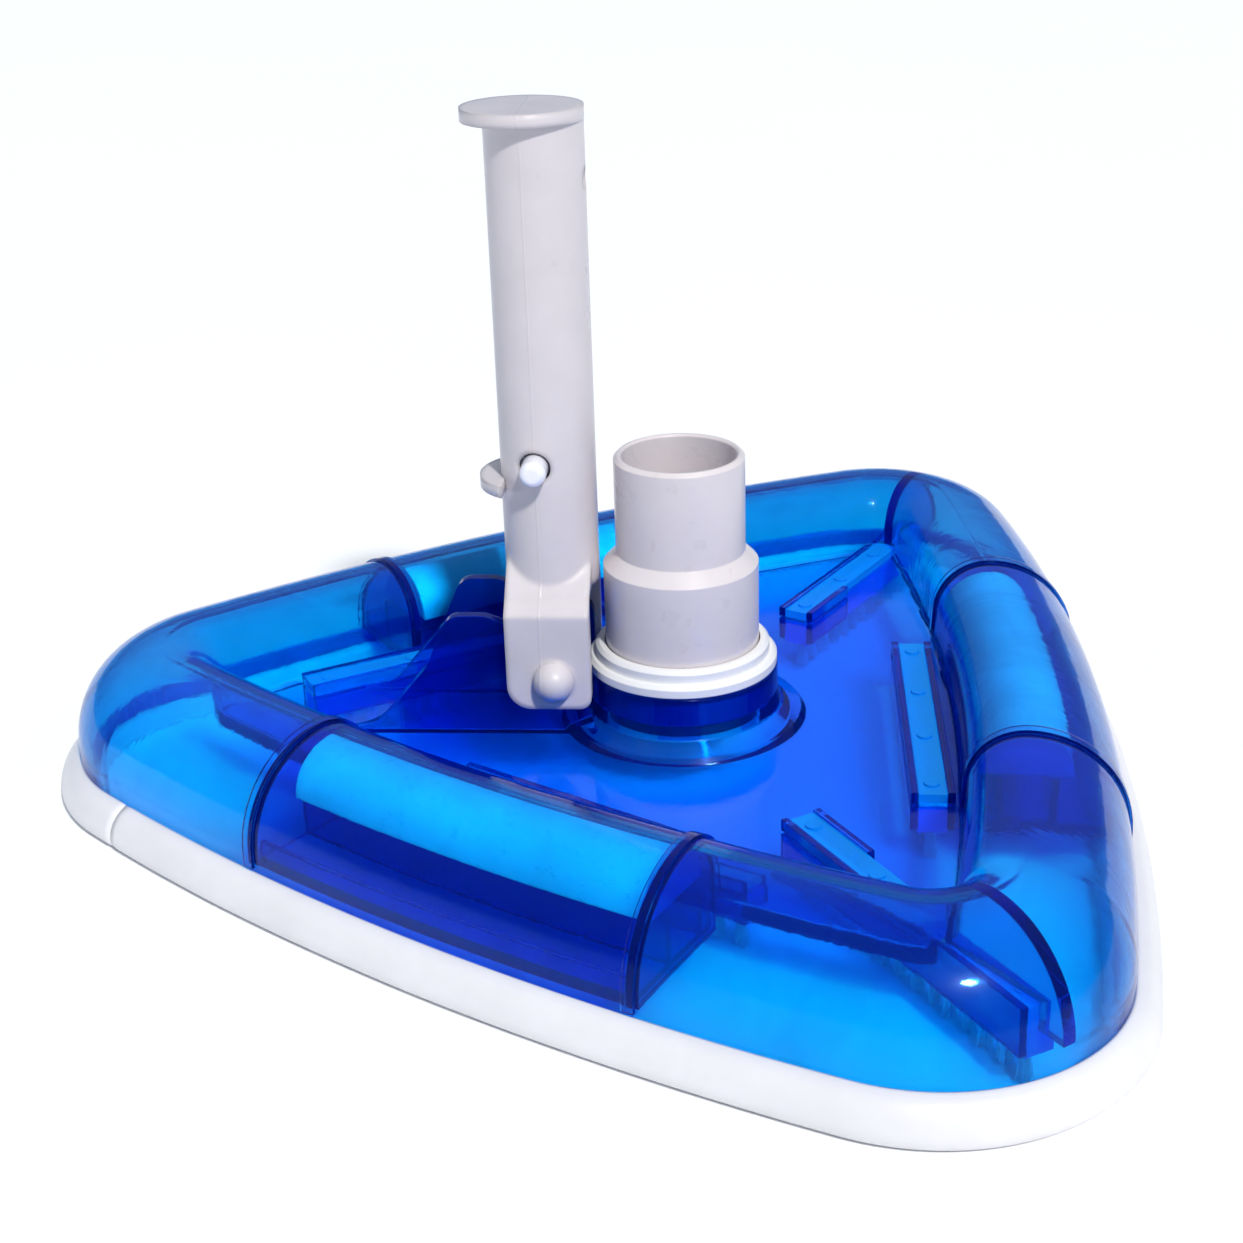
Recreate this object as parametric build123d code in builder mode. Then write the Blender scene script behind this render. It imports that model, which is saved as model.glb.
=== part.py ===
from build123d import *
import os
from math import atan2, cos, degrees, hypot, sin, sqrt

# Manual vacuum head for pools: a clear triangular weighted shell with a vinyl bumper,
# a swivelling hose cuff and a hinged handle that plugs into a telescopic pole.
# Millimetres, +Z up, resting on Z = 0.  +X points to the long leading side, the tail
# corner points to -X, and the body is laid out about the plane Y = 0.

os.makedirs("parts", exist_ok=True)

# ---- plan of the shell: three corner arcs joined by three slightly bowed sides ----
TAIL = (-87.0, 0.0)
RIGHT = (78.0, -102.9)
LEFT = (78.0, 102.9)
CORNER_R = 42.7
SIDE_R = 634.7

# ---- section of the hollow ridge, by distance inward from the outer wall ----
WALL = 2.4
EDGE_Z = 1.6
SPRING_Z = 14.6
OUTER_R = 23.4
INNER_R = 13.5
CREST_S = OUTER_R
INNER_Z = SPRING_Z + OUTER_R - INNER_R
FOOT_S = 37.4
FOOT_FILLET = 1.5
PAN_TOP = 17.9
PAN_BOTTOM = PAN_TOP - WALL
DIAGONAL = sqrt(0.5)

# ---- bumper ----
BUMPER_OUT = 5.9
BUMPER_TOP = 10.5
BUMPER_WIDEST_Z = 3.1
BUMPER_SHOULDER = (4.3, 7.9)
BUMPER_HEEL = (5.0, 0.95)
BUMPER_FLAT_OUT = 2.9
BUMPER_FLAT_IN = 4.2
BUMPER_LEG = 2.4
BUMPER_LEG_TOP = 6.4
BUMPER_LEG_ROUND = 0.8

# ---- ballast chambers under the ridge ----
CHAMBER_HALF = 52.0
CHAMBER_SHIFT = 4.7
END_WALL = 2.8
RING_PROUD = 0.7
CHAMBER_BOTTOM = 11.4
COVER_RIM_TOP = 17.1
BALLAST_R = 10.6
BALLAST_FLAT_Z = 24.2
BALLAST_GAP = 2.0
CHAMBER_FIT = 0.25
COVER_PLATE = 1.8
COVER_LIP = (0.6, 2.5)
CRADLE_SPREAD = 6.5
WEB_BOTTOM = 14.2
WEB_THICK = 3.0
WEB_TURNS = {"right": 9.0, "left": 0.0}

# ---- brush strips ----
CHANNEL_GAP = 6.7
CHANNEL_WALL = 1.8
CHANNEL_TOP = 20.4
CHANNEL_BOTTOM = 9.5
BAR_TOP = 19.9
BAR_BOTTOM = 8.6
BAR_END_GAP = 0.25
SHORT_WALL = 22.0
PEG_R = 1.85
PEG_RISE = 0.45
PEG_ENDS = 5.5
PEG_PITCH = 24.0
TUFT_R = 1.9
TUFT_PITCH = 6.0
TUFT_ENDS = 4.0
TUFT_BOTTOM = 0.5

# ---- hose neck and swivel cuff ----
CUFF_X = 24.5
NECK_TOP = 32.3
NECK_R = 23.7
NECK_BORE = 21.4
NECK_BASE_R = 30.9
NECK_STEPS = ((23.7, 25.5), (24.9, 21.6), (29.6, 19.4))
NECK_UNDER = ((25.6, PAN_BOTTOM), (21.4, 20.0))
NECK_ROUND = 0.6
COLLAR_R = 23.5
COLLAR_STEP_R = 21.6
COLLAR_STEP_Z = 35.2
COLLAR_TOP = 38.4
COLLAR_BOTTOM = 23.9
COLLAR_BEVEL = 0.9
SEAT_Z = 30.0
RUN_CLEARANCE = 0.3
LARGE_HOSE_R = 19.05
SMALL_HOSE_R = 15.875
STEM_R = 18.3
SHOULDER_Z = 58.7
SPIGOT_Z = 62.0
CUFF_TOP = 86.4
CUFF_BOTTOM = 18.5
FLANGE_TOP = 21.0
CUFF_FLANGE_R = 20.6
CUFF_BEVEL = 0.9
MOUTH_BEVEL = 0.5
SPIGOT_BORE = 13.9
BODY_BORE = 16.2
WASHER_IN_GAP = 0.15
WASHER_OUT_GAP = 0.2

# ---- handle and its hinge ----
HINGE_X = -6.0
HINGE_Z = 34.3
TUBE_X = -7.0
TUBE_R = 11.5
TUBE_BORE = 9.2
HANDLE_TOP = 168.9
DISC_R = 14.1
DISC_SHIFT = -2.5
DISC_THICK = 3.0
EAR_BACK = 11.5
EAR_FRONT = 9.0
EAR_DROP = 7.6
EAR_RISE = 16.8
EAR_OUT = 17.8
EAR_IN = 13.8
CHEEK_TOP = 22.4
CHEEK_SLOPE = (EAR_OUT - TUBE_R) / (CHEEK_TOP - EAR_RISE)
CHEEK_RUN = 15.0
CROTCH = 20.2
CROTCH_BEVEL = 0.8
EAR_BACK_CORNER = 6.0
EAR_FRONT_CORNER = 3.0
BOSS_R = 4.9
BOSS_OUT = 5.4
BOSS_DOME = (0.74, 0.70)
BOSS_ROOT = 1.0
FIN_OUT = 13.4
FIN_THICK = 2.8
FIN_TOP = 49.4
FIN_BASE = PAN_BOTTOM + 0.5
FIN_CORNERS = (
    (-59.0, FIN_BASE),
    (-59.0, PAN_TOP + 0.5),
    (-50.5, 20.8),
    (-37.7, 36.0),
    (-32.0, FIN_TOP),
    (-22.5, FIN_TOP),
    (-13.0, 45.0),
    (1.6, 43.6),
    (1.6, 26.0),
    (4.0, FIN_BASE),
)
FIN_ROUNDS = (0.8, 12.0, 8.0, 5.0, 8.0, 10.0, 4.0, 3.0)
PIN_R = 3.0
PIN_CLEARANCE = 0.08
PIN_HALF = 16.6

# ---- spring clip ----
BUTTON_Z = 86.5
BUTTON_SHIFT = -2.0
BUTTON_R = 3.15
BUTTON_HOLE_R = 3.8
BUTTON_TIP = 17.2
BUTTON_FLANGE_R = 4.1
BUTTON_FLANGE_THICK = 0.8
BUTTON_SEAT = 5.6
BUTTON_ROUND = 1.8
CLIP_THICK = 0.6
CLIP_WIDTH = 5.0
CLIP_HEAD = 5.0
CLIP_BEND = 1.6
CLIP_BOTTOM = 58.0
RIM_Z = 80.6
RIM_THICK = 2.8
RIM_CUT = 10.0
VENT_Z = 152.4
VENT_R = 2.75


def side_centre(start, end):
    """Centre of the bowed side that is tangent to the corner arcs at both ends."""
    run = (end[0] - start[0], end[1] - start[1])
    length = hypot(*run)
    rise = sqrt((SIDE_R - CORNER_R) ** 2 - (length / 2) ** 2)
    middle = ((start[0] + end[0]) / 2, (start[1] + end[1]) / 2)
    return (middle[0] - run[1] / length * rise, middle[1] + run[0] / length * rise)


def heading(origin, point):
    """Angle in degrees of the line from one plan point to another."""
    return degrees(atan2(point[1] - origin[1], point[0] - origin[0]))


def polar(centre, radius, angle):
    """Plan point at a radius and an angle in degrees from a centre."""
    turn = Vector(1, 0).rotate(Axis.Z, angle)
    return (centre[0] + radius * turn.X, centre[1] + radius * turn.Y)


CORNERS = {"tail": TAIL, "right": RIGHT, "left": LEFT}
SIDES = {
    "right": (side_centre(TAIL, RIGHT), TAIL, RIGHT),
    "leading": (side_centre(RIGHT, LEFT), RIGHT, LEFT),
    "left": (side_centre(LEFT, TAIL), LEFT, TAIL),
}


def outline_arcs():
    """Centre, radius, start angle and sweep of the six arcs, anticlockwise."""
    arcs = []
    order = ["right", "leading", "left"]
    for index, name in enumerate(order):
        centre, start, end = SIDES[name]
        following = SIDES[order[(index + 1) % 3]][0]
        first = heading(centre, start)
        last = heading(centre, end)
        turn = heading(following, end)
        arcs.append((centre, SIDE_R, first, (last - first) % 360))
        arcs.append((end, CORNER_R, last, (turn - last) % 360))
    return arcs


def section_plane(centre, angle):
    """Upright plane through an arc centre: local x runs outward, local y is height."""
    out = Vector(1, 0).rotate(Axis.Z, angle)
    return Plane(origin=(centre[0], centre[1], 0), x_dir=(out.X, out.Y, 0), z_dir=(out.Y, -out.X, 0))


def upright(centre):
    return Axis((centre[0], centre[1], 0), (0, 0, 1))


def outline_face(inset):
    """Face of the plan outline moved inward; make inside a BuildSketch."""
    with BuildLine() as line:
        for centre, radius, start, sweep in outline_arcs():
            CenterArc(centre, radius - inset, start, sweep)
    make_face(line.edges())


def arch(outer, inner, radius):
    """Two arcs of the ridge, springing line to inner flank, at the given radii."""
    ThreePointArc(
        (radius - CREST_S + outer, SPRING_Z),
        (radius - CREST_S + outer * DIAGONAL, SPRING_Z + outer * DIAGONAL),
        (radius - CREST_S, SPRING_Z + outer),
    )
    ThreePointArc(
        (radius - CREST_S, INNER_Z + inner),
        (radius - CREST_S - inner * DIAGONAL, INNER_Z + inner * DIAGONAL),
        (radius - CREST_S - inner, INNER_Z),
    )


def ridge_section(radius):
    """Hollow ridge from its bottom edge over the crest to the pan."""
    crown = radius - CREST_S
    foot = radius - FOOT_S
    with BuildLine() as line:
        Line((radius, EDGE_Z), (radius, SPRING_Z))
        arch(OUTER_R, INNER_R, radius)
        Line((crown - INNER_R, INNER_Z), (foot, PAN_TOP + FOOT_FILLET))
        RadiusArc((foot, PAN_TOP + FOOT_FILLET), (foot - FOOT_FILLET, PAN_TOP), FOOT_FILLET)
        Line((foot - FOOT_FILLET, PAN_TOP), (foot - FOOT_FILLET, PAN_BOTTOM))
        Line((foot - FOOT_FILLET, PAN_BOTTOM), (foot + WALL, PAN_BOTTOM))
        Line((foot + WALL, PAN_BOTTOM), (crown - INNER_R + WALL, INNER_Z))
        arch(OUTER_R - WALL, INNER_R - WALL, radius)
        Line((radius - WALL, SPRING_Z), (radius - WALL, EDGE_Z))
        Line((radius - WALL, EDGE_Z), (radius, EDGE_Z))
    make_face(line.edges())


def bulkhead_section(radius, proud, bottom):
    """Solid D under the ridge, standing proud of the outside by the given amount."""
    crown = radius - CREST_S
    foot = radius - FOOT_S
    with BuildLine() as line:
        Line((radius + proud, bottom), (radius + proud, SPRING_Z))
        arch(OUTER_R + proud, INNER_R + proud, radius)
        Line((crown - INNER_R - proud, INNER_Z), (foot - proud, PAN_BOTTOM))
        Line((foot - proud, PAN_BOTTOM), (foot + WALL, PAN_BOTTOM))
        Polyline((foot + WALL, PAN_BOTTOM), (foot + WALL, bottom), (radius + proud, bottom))
    make_face(line.edges())


def bumper_section(radius):
    """Rounded bead outside the wall with a short leg that grips it from inside."""
    inside = radius - WALL - BUMPER_LEG
    with BuildLine() as line:
        ThreePointArc(
            (radius, BUMPER_TOP),
            (radius + BUMPER_SHOULDER[0], BUMPER_SHOULDER[1]),
            (radius + BUMPER_OUT, BUMPER_WIDEST_Z),
        )
        ThreePointArc(
            (radius + BUMPER_OUT, BUMPER_WIDEST_Z),
            (radius + BUMPER_HEEL[0], BUMPER_HEEL[1]),
            (radius + BUMPER_FLAT_OUT, 0),
        )
        Line((radius + BUMPER_FLAT_OUT, 0), (radius - BUMPER_FLAT_IN, 0))
        RadiusArc((radius - BUMPER_FLAT_IN, 0), (inside, BUMPER_LEG_ROUND), BUMPER_LEG_ROUND)
        Polyline(
            (inside, BUMPER_LEG_ROUND),
            (inside, BUMPER_LEG_TOP - BUMPER_LEG_ROUND),
            (radius - WALL, BUMPER_LEG_TOP),
            (radius - WALL, EDGE_Z),
            (radius, EDGE_Z),
            (radius, BUMPER_TOP),
        )
    make_face(line.edges())


def chamber_middle(name):
    """Side centre and heading of the middle of that side's ballast chamber."""
    centre, start, end = SIDES[name]
    middle = (heading(centre, start) + ((heading(centre, end) - heading(centre, start)) % 360) / 2)
    shift = {"right": CHAMBER_SHIFT, "leading": 0.0, "left": -CHAMBER_SHIFT}[name]
    return centre, middle + degrees(shift / SIDE_R)


def side_angle(length):
    """Angle at the side centre that spans a length along the crest of the ridge."""
    return degrees(length / (SIDE_R - CREST_S))


def corner_heading(name):
    """Heading of the line that halves a corner."""
    arc = [item for item in outline_arcs() if item[0] == CORNERS[name]][0]
    return arc[2] + arc[3] / 2


def side_strip(name, inset, shift, length):
    """Plan centre, heading and length of a brush strip that runs along a side."""
    centre, start, end = SIDES[name]
    middle = heading(centre, start) + ((heading(centre, end) - heading(centre, start)) % 360) / 2
    point = polar(polar(centre, SIDE_R - inset, middle), shift, middle + 90)
    return point, middle + 90, length


def corner_strip(name, inner, outer, swing=0.0):
    """Strip along the line that halves a corner, swung about its inner end."""
    angle = corner_heading(name)
    start = polar(CORNERS[name], -inner, angle)
    return polar(start, (outer + inner) / 2, angle + swing), angle + swing, outer + inner


STRIPS = {
    "leading": side_strip("leading", 46.0, -5.5, 84.5),
    "right": side_strip("right", 50.0, 15.5, 84.5),
    "left": side_strip("left", 48.0, 39.0, 82.0),
    "right_corner": corner_strip("right", 51.5, 34.0, 3.0),
    "left_corner": corner_strip("left", 51.5, 24.0),
}


def spread(length, pitch):
    """Evenly spaced positions about zero, near the given pitch, inside a length."""
    count = max(2, round(length / pitch) + 1)
    return [length * (index / (count - 1) - 0.5) for index in range(count)]


def strip_plane(strip, height):
    """Level plane at a strip, with local x along it."""
    point, angle, _ = strip
    along = Vector(1, 0).rotate(Axis.Z, angle)
    return Plane(origin=(point[0], point[1], height), x_dir=(along.X, along.Y, 0), z_dir=(0, 0, 1))


def channel_walls(name, strip):
    """Offset, middle and length of the two walls beside a strip."""
    offset = (CHANNEL_GAP + CHANNEL_WALL) / 2
    length = strip[2]
    walls = [(offset, 0.0, length), (-offset, 0.0, length)]
    if name == "right_corner":
        walls[0] = (offset, (SHORT_WALL - length) / 2, SHORT_WALL)
    if name == "left_corner":
        walls[1] = (-offset, (SHORT_WALL - length) / 2, SHORT_WALL)
    return walls


def fin_outline():
    """Hinge fin seen from the side, in X and Z."""
    FilletPolyline(*FIN_CORNERS, radius=FIN_ROUNDS)
    Line(FIN_CORNERS[-1], FIN_CORNERS[0])


# ================================ shell ================================
with BuildPart() as shell:
    for centre, radius, start, sweep in outline_arcs():
        with BuildSketch(section_plane(centre, start)):
            ridge_section(radius)
        revolve(axis=upright(centre), revolution_arc=sweep)
    with BuildSketch(Plane.XY.offset(PAN_BOTTOM)):
        outline_face(FOOT_S + FOOT_FILLET / 2)
        with Locations((CUFF_X, 0)):
            Circle(NECK_BASE_R - 1, mode=Mode.SUBTRACT)
    extrude(amount=WALL)
    # stepped neck that the hose cuff swivels in
    with BuildSketch(Plane.XZ.shift_origin((CUFF_X, 0, 0))):
        with BuildLine():
            FilletPolyline(
                (NECK_BORE, NECK_TOP),
                (NECK_R, NECK_TOP),
                *NECK_STEPS,
                (NECK_BASE_R, PAN_TOP),
                (NECK_BASE_R, PAN_BOTTOM),
                *NECK_UNDER,
                radius=NECK_ROUND,
                close=True,
            )
        make_face()
    revolve(axis=upright((CUFF_X, 0)))
    # hinge fins
    for face in (-FIN_OUT, FIN_OUT - FIN_THICK):
        with BuildSketch(Plane.XZ.offset(-face - FIN_THICK)):
            with BuildLine():
                fin_outline()
            make_face()
            with Locations((HINGE_X, HINGE_Z)):
                Circle(PIN_R + PIN_CLEARANCE, mode=Mode.SUBTRACT)
        extrude(amount=FIN_THICK)
    # end walls of the ballast chambers, standing proud as rings
    for name in SIDES:
        centre, middle = chamber_middle(name)
        for end in (-1, 1):
            edge = middle + end * side_angle(CHAMBER_HALF - END_WALL / 2) - side_angle(END_WALL / 2)
            with BuildSketch(section_plane(centre, edge)):
                bulkhead_section(SIDE_R, RING_PROUD, CHAMBER_BOTTOM)
            revolve(axis=upright(centre), revolution_arc=side_angle(END_WALL))
    # web that stiffens each front corner
    for name, turn in WEB_TURNS.items():
        with BuildSketch(section_plane(CORNERS[name], corner_heading(name) + turn)):
            bulkhead_section(CORNER_R, -WALL / 2, WEB_BOTTOM)
        extrude(amount=WEB_THICK / 2, both=True)
    # channels that hold the brush strips
    for name, strip in STRIPS.items():
        with BuildSketch(strip_plane(strip, CHANNEL_BOTTOM)):
            for offset, middle, length in channel_walls(name, strip):
                with Locations((middle, offset)):
                    Rectangle(length, CHANNEL_WALL)
        extrude(amount=CHANNEL_TOP - CHANNEL_BOTTOM)
        with BuildSketch(strip_plane(strip, CHANNEL_BOTTOM)):
            Rectangle(strip[2], CHANNEL_GAP)
        extrude(amount=CHANNEL_TOP - CHANNEL_BOTTOM, mode=Mode.SUBTRACT)
shell.part.label = "shell"
export_step(shell.part, "parts/shell.step")

# ================================ bumper ================================
with BuildPart() as bumper:
    for centre, radius, start, sweep in outline_arcs():
        with BuildSketch(section_plane(centre, start)):
            bumper_section(radius)
        revolve(axis=upright(centre), revolution_arc=sweep)
bumper.part.label = "bumper"
export_step(bumper.part, "parts/bumper.step")

# ================= ballast bars and the covers that close them in =================
COVER_OUT = SIDE_R - WALL - CHAMBER_FIT
COVER_IN = SIDE_R - FOOT_S + WALL + CHAMBER_FIT
for name in SIDES:
    centre, middle = chamber_middle(name)
    half = side_angle(CHAMBER_HALF - END_WALL - CHAMBER_FIT)
    with BuildPart() as cover:
        with BuildSketch(section_plane(centre, middle - half)):
            with BuildLine():
                Polyline(
                    (COVER_OUT, CHAMBER_BOTTOM),
                    (COVER_OUT, COVER_RIM_TOP - COVER_LIP[1]),
                    (COVER_OUT - COVER_LIP[0], COVER_RIM_TOP),
                    (COVER_OUT - COVER_PLATE, COVER_RIM_TOP),
                    (COVER_OUT - COVER_PLATE, CHAMBER_BOTTOM + COVER_PLATE),
                    (COVER_IN + COVER_PLATE, CHAMBER_BOTTOM + COVER_PLATE),
                    (COVER_IN + COVER_PLATE, COVER_RIM_TOP),
                    (COVER_IN, COVER_RIM_TOP),
                    (COVER_IN, CHAMBER_BOTTOM),
                    close=True,
                )
            make_face()
            for inset in (CREST_S - CRADLE_SPREAD, CREST_S + CRADLE_SPREAD):
                with Locations((SIDE_R - inset, (CHAMBER_BOTTOM + BALLAST_FLAT_Z) / 2)):
                    Rectangle(COVER_PLATE, BALLAST_FLAT_Z - CHAMBER_BOTTOM)
        revolve(axis=upright(centre), revolution_arc=2 * half)
    cover.part.label = f"chamber_cover_{name}"
    export_step(cover.part, f"parts/chamber_cover_{name}.step")

    half = side_angle(CHAMBER_HALF - END_WALL - BALLAST_GAP)
    with BuildPart() as ballast:
        with BuildSketch(section_plane(centre, middle - half)):
            with Locations((SIDE_R - CREST_S, BALLAST_FLAT_Z)):
                Circle(BALLAST_R)
                with Locations((0, -BALLAST_R)):
                    Rectangle(2 * BALLAST_R, 2 * BALLAST_R, mode=Mode.SUBTRACT)
        revolve(axis=upright(centre), revolution_arc=2 * half)
    ballast.part.label = f"ballast_{name}"
    export_step(ballast.part, f"parts/ballast_{name}.step")

# ================================ brush strips ================================
for name, strip in STRIPS.items():
    length = strip[2]
    with BuildPart() as brush_bar:
        with BuildSketch(strip_plane(strip, BAR_BOTTOM)):
            Rectangle(length - 2 * BAR_END_GAP, CHANNEL_GAP)
        extrude(amount=BAR_TOP - BAR_BOTTOM)
        with BuildSketch(strip_plane(strip, BAR_TOP)):
            for position in spread(length - 2 * PEG_ENDS, PEG_PITCH):
                with Locations((position, 0)):
                    Circle(PEG_R)
        extrude(amount=PEG_RISE)
    brush_bar.part.label = f"brush_bar_{name}"
    export_step(brush_bar.part, f"parts/brush_bar_{name}.step")

    with BuildPart() as bristles:
        with BuildSketch(strip_plane(strip, TUFT_BOTTOM)):
            for position in spread(length - 2 * TUFT_ENDS, TUFT_PITCH):
                with Locations((position, 0)):
                    Circle(TUFT_R)
        extrude(amount=BAR_BOTTOM - TUFT_BOTTOM)
    bristles.part.label = f"bristles_{name}"
    export_step(bristles.part, f"parts/bristles_{name}.step")

# ================================ swivel joint ================================
SEAT_R = STEM_R + RUN_CLEARANCE
RUN_R = LARGE_HOSE_R + RUN_CLEARANCE
CUFF_PLANE = Plane.XZ.shift_origin((CUFF_X, 0, 0))
with BuildPart() as collar:
    with BuildSketch(CUFF_PLANE):
        with BuildLine():
            Polyline(
                (SEAT_R, COLLAR_BOTTOM),
                (NECK_BORE, COLLAR_BOTTOM),
                (NECK_BORE, NECK_TOP),
                (COLLAR_R, NECK_TOP),
                (COLLAR_R, COLLAR_STEP_Z - COLLAR_BEVEL),
                (COLLAR_R - COLLAR_BEVEL, COLLAR_STEP_Z),
                (COLLAR_STEP_R, COLLAR_STEP_Z),
                (COLLAR_STEP_R, COLLAR_TOP - COLLAR_BEVEL),
                (COLLAR_STEP_R - COLLAR_BEVEL, COLLAR_TOP),
                (RUN_R, COLLAR_TOP),
                (RUN_R, SEAT_Z - RUN_CLEARANCE),
                (SEAT_R, SEAT_Z - RUN_CLEARANCE),
                close=True,
            )
        make_face()
    revolve(axis=upright((CUFF_X, 0)))
collar.part.label = "swivel_collar"
export_step(collar.part, "parts/swivel_collar.step")

with BuildPart() as hose_cuff:
    with BuildSketch(CUFF_PLANE):
        with BuildLine():
            Polyline(
                (BODY_BORE, CUFF_BOTTOM),
                (CUFF_FLANGE_R, CUFF_BOTTOM),
                (CUFF_FLANGE_R, FLANGE_TOP),
                (STEM_R, FLANGE_TOP),
                (STEM_R, SEAT_Z),
                (LARGE_HOSE_R, SEAT_Z),
                (LARGE_HOSE_R, SHOULDER_Z),
                (SMALL_HOSE_R, SPIGOT_Z),
                (SMALL_HOSE_R, CUFF_TOP - CUFF_BEVEL),
                (SMALL_HOSE_R - CUFF_BEVEL, CUFF_TOP),
                (SPIGOT_BORE + MOUTH_BEVEL, CUFF_TOP),
                (SPIGOT_BORE, CUFF_TOP - MOUTH_BEVEL),
                (SPIGOT_BORE, SPIGOT_Z),
                (BODY_BORE, SHOULDER_Z),
                close=True,
            )
        make_face()
    revolve(axis=upright((CUFF_X, 0)))
hose_cuff.part.label = "hose_cuff"
export_step(hose_cuff.part, "parts/hose_cuff.step")

with BuildPart() as washer:
    with BuildSketch(Plane.XY.offset(FLANGE_TOP)):
        with Locations((CUFF_X, 0)):
            Circle(CUFF_FLANGE_R + WASHER_OUT_GAP)
            Circle(STEM_R + WASHER_IN_GAP, mode=Mode.SUBTRACT)
    extrude(amount=COLLAR_BOTTOM - RUN_CLEARANCE - FLANGE_TOP)
washer.part.label = "swivel_washer"
export_step(washer.part, "parts/swivel_washer.step")

# ================================ handle ================================


def hinge_plane(across):
    """Upright plane across the hinge line: local x is +X, local y is height above the pin."""
    return Plane(origin=(HINGE_X, across, HINGE_Z), x_dir=(1, 0, 0), z_dir=(0, -1, 0))


with BuildPart() as handle:
    with BuildSketch(Plane.XY.offset(HINGE_Z + CROTCH)):
        with Locations((TUBE_X, 0)):
            Circle(TUBE_R)
    extrude(amount=HANDLE_TOP - HINGE_Z - CROTCH)
    # closed end disc that overhangs the back of the tube
    with BuildSketch(Plane.XY.offset(HANDLE_TOP - DISC_THICK)):
        with Locations((TUBE_X + DISC_SHIFT, 0)):
            Circle(DISC_R)
    extrude(amount=DISC_THICK)
    # half-moon rim behind the clip buttons
    with BuildSketch(Plane.XY.offset(RIM_Z - RIM_THICK / 2)):
        with Locations((TUBE_X + DISC_SHIFT, 0)):
            Circle(DISC_R)
        with Locations((TUBE_X - RIM_CUT + DISC_R, 0)):
            Rectangle(2 * DISC_R, 2 * DISC_R, mode=Mode.SUBTRACT)
    extrude(amount=RIM_THICK)
    # forked foot whose cheeks slope in to meet the tube
    with BuildSketch(Plane.YZ.offset(HINGE_X - EAR_BACK)):
        with BuildLine():
            Polyline(
                (-EAR_OUT, HINGE_Z - EAR_DROP),
                (-EAR_OUT, HINGE_Z + EAR_RISE),
                (-EAR_OUT + CHEEK_SLOPE * CHEEK_RUN, HINGE_Z + EAR_RISE + CHEEK_RUN),
                (EAR_OUT - CHEEK_SLOPE * CHEEK_RUN, HINGE_Z + EAR_RISE + CHEEK_RUN),
                (EAR_OUT, HINGE_Z + EAR_RISE),
                (EAR_OUT, HINGE_Z - EAR_DROP),
                close=True,
            )
        make_face()
    extrude(amount=EAR_BACK + EAR_FRONT)
    lower_edges = handle.edges().filter_by(Axis.Y).group_by(Axis.Z)[0]
    fillet(lower_edges.sort_by(Axis.X)[0], EAR_BACK_CORNER)
    fillet(handle.edges().filter_by(Axis.Y).group_by(Axis.Z)[0].sort_by(Axis.X)[-1], EAR_FRONT_CORNER)
    # domed bosses over the ends of the hinge pin
    for side in (-1, 1):
        with BuildSketch(Plane((HINGE_X, side * EAR_OUT, HINGE_Z), x_dir=(0, side, 0), z_dir=(1, 0, 0))):
            with BuildLine():
                Polyline((0, BOSS_R), (-BOSS_ROOT, BOSS_R), (-BOSS_ROOT, 0), (BOSS_OUT, 0))
                ThreePointArc((BOSS_OUT, 0), (BOSS_OUT * BOSS_DOME[0], BOSS_R * BOSS_DOME[1]), (0, BOSS_R))
            make_face()
        revolve(axis=Axis((HINGE_X, 0, HINGE_Z), (0, 1, 0)))
    # space between the ears, open into the bore of the tube
    with BuildSketch(Plane.YZ.offset(TUBE_X - TUBE_R - DISC_R)):
        with BuildLine():
            Polyline(
                (-EAR_IN, HINGE_Z - EAR_DROP - 1),
                (-EAR_IN, HINGE_Z + CROTCH - CROTCH_BEVEL),
                (-EAR_IN + CROTCH_BEVEL, HINGE_Z + CROTCH),
                (EAR_IN - CROTCH_BEVEL, HINGE_Z + CROTCH),
                (EAR_IN, HINGE_Z + CROTCH - CROTCH_BEVEL),
                (EAR_IN, HINGE_Z - EAR_DROP - 1),
                close=True,
            )
        make_face()
    extrude(amount=2 * (TUBE_R + DISC_R), mode=Mode.SUBTRACT)
    with BuildSketch(Plane.XY.offset(HINGE_Z + CROTCH - 1)):
        with Locations((TUBE_X, 0)):
            Circle(TUBE_BORE)
    extrude(amount=HANDLE_TOP - DISC_THICK - HINGE_Z - CROTCH + 1, mode=Mode.SUBTRACT)
    # seats for the hinge pin
    with BuildSketch(hinge_plane(PIN_HALF)):
        Circle(PIN_R)
    extrude(amount=2 * PIN_HALF, mode=Mode.SUBTRACT)
    # holes for the clip buttons, and the vent near the top
    with BuildSketch(Plane.XZ.offset(-TUBE_R - 1)):
        with Locations((TUBE_X + BUTTON_SHIFT, BUTTON_Z)):
            Circle(BUTTON_HOLE_R)
    extrude(amount=2 * (TUBE_R + 1), mode=Mode.SUBTRACT)
    with BuildSketch(Plane.YZ.offset(TUBE_X)):
        with Locations((0, VENT_Z)):
            Circle(VENT_R)
    extrude(amount=TUBE_R + 1, mode=Mode.SUBTRACT)
handle.part.label = "handle"
export_step(handle.part, "parts/handle.step")

with BuildPart() as hinge_pin:
    with BuildSketch(hinge_plane(PIN_HALF)):
        Circle(PIN_R)
    extrude(amount=2 * PIN_HALF)
hinge_pin.part.label = "hinge_pin"
export_step(hinge_pin.part, "parts/hinge_pin.step")

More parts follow.
